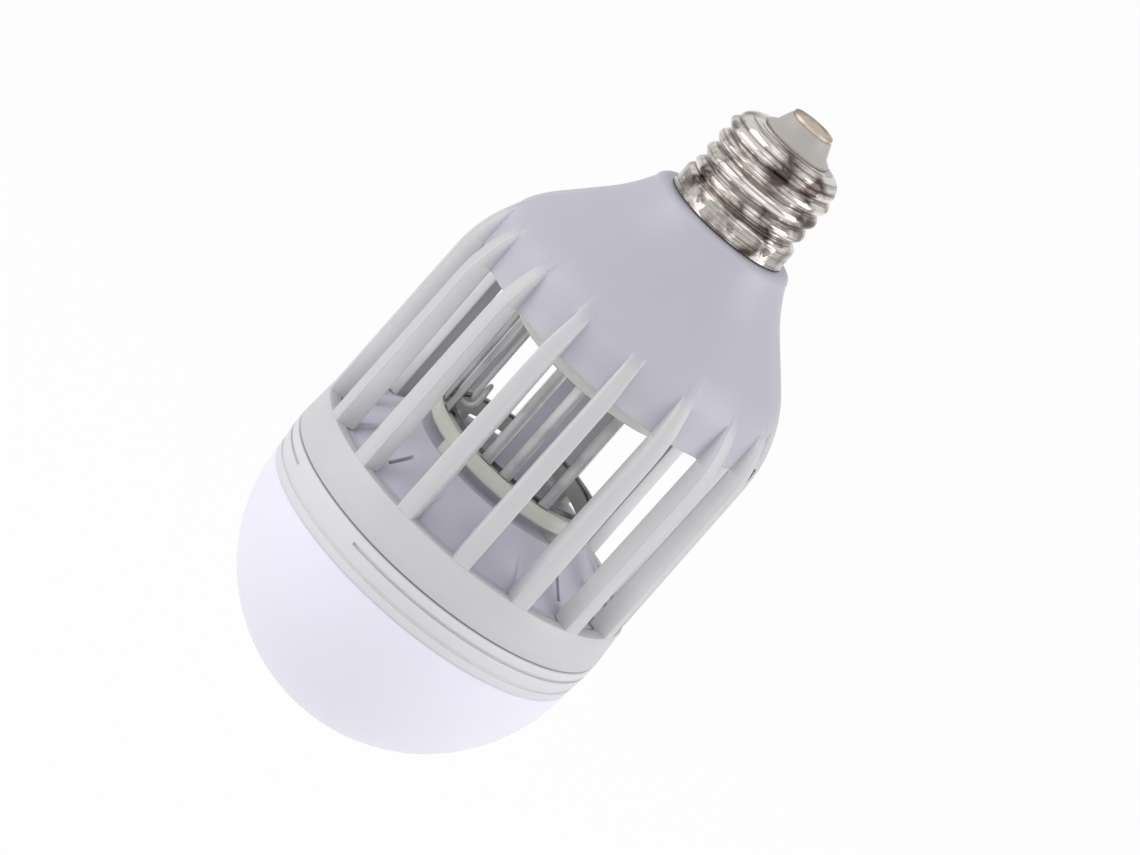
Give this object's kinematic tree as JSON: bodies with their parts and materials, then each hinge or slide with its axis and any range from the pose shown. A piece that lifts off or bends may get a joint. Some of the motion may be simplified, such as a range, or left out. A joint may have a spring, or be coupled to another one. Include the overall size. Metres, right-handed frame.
{
  "type": "insect killer light bulb",
  "caption": "Screw-in lamp that also kills flying insects: a finned cage round an open high voltage grid, between a bell under the cap and a milky dome.",
  "frame": {"origin": "centre of the outer face of the cap's contact", "axes": "+Z is the lamp's axis, from the dome towards the cap; -Y is a window of the cage"},
  "size_m": [0.08, 0.08, 0.1625],
  "materials": {
    "plated_cap": "bright nickel plate",
    "cap_insulator": "smooth",
    "contact_metal": "dull, soldered",
    "housing": "satin moulding",
    "collar": "satin moulding",
    "inner_plastic": "satin moulding",
    "diffuser": "milky satin",
    "grid_ring": "ivory, slightly translucent",
    "grid_metal": "bright drawn",
    "screw_steel": "zinc plated",
    "uv_board": "white solder mask",
    "uv_lamp": "clear violet",
    "led_plate": "white coated",
    "white_lamp": "yellow phosphor",
    "circuit_board": "solder mask",
    "capacitor_sleeve": "shrink sleeve",
    "film_coating": "dipped",
    "transformer_tape": "wound tape",
    "copper_winding": "enamelled wire",
    "black_moulding": "moulded",
    "resistor_lacquer": "lacquered",
    "red_insulation": "insulated",
    "blue_insulation": "insulated",
    "white_insulation": "insulated"
  },
  "bodies": {
    "root": {"screw_cap": "plated_cap", "cap_insulator": "cap_insulator", "centre_contact": "contact_metal", "cage_housing": "housing", "cage_ceiling": "inner_plastic", "ceiling_screws": "screw_steel", "cage_floor": "inner_plastic", "grid_upper_ring": "grid_ring", "grid_lower_ring": "grid_ring", "live_bus_ring": "grid_metal", "return_bus_ring": "grid_metal", "grid_strips_live": "grid_metal", "grid_strips_return": "grid_metal", "uv_post": "inner_plastic", "uv_led_boards": "uv_board", "uv_leds": "uv_lamp", "collar": "collar", "led_board": "led_plate", "white_leds": "white_lamp", "led_board_screws": "screw_steel", "diffuser_dome": "diffuser", "driver_board": "circuit_board", "board_screws": "screw_steel", "bulk_capacitor": "capacitor_sleeve", "film_capacitors": "film_coating", "step_up_transformer": "transformer_tape", "choke": "copper_winding", "diodes": "black_moulding", "driver_chip": "black_moulding", "fuse_resistor": "resistor_lacquer", "live_wire": "red_insulation", "neutral_wire": "blue_insulation", "led_wires": "white_insulation", "live_lead": "red_insulation", "return_lead": "white_insulation"}
  },
  "joints": []
}
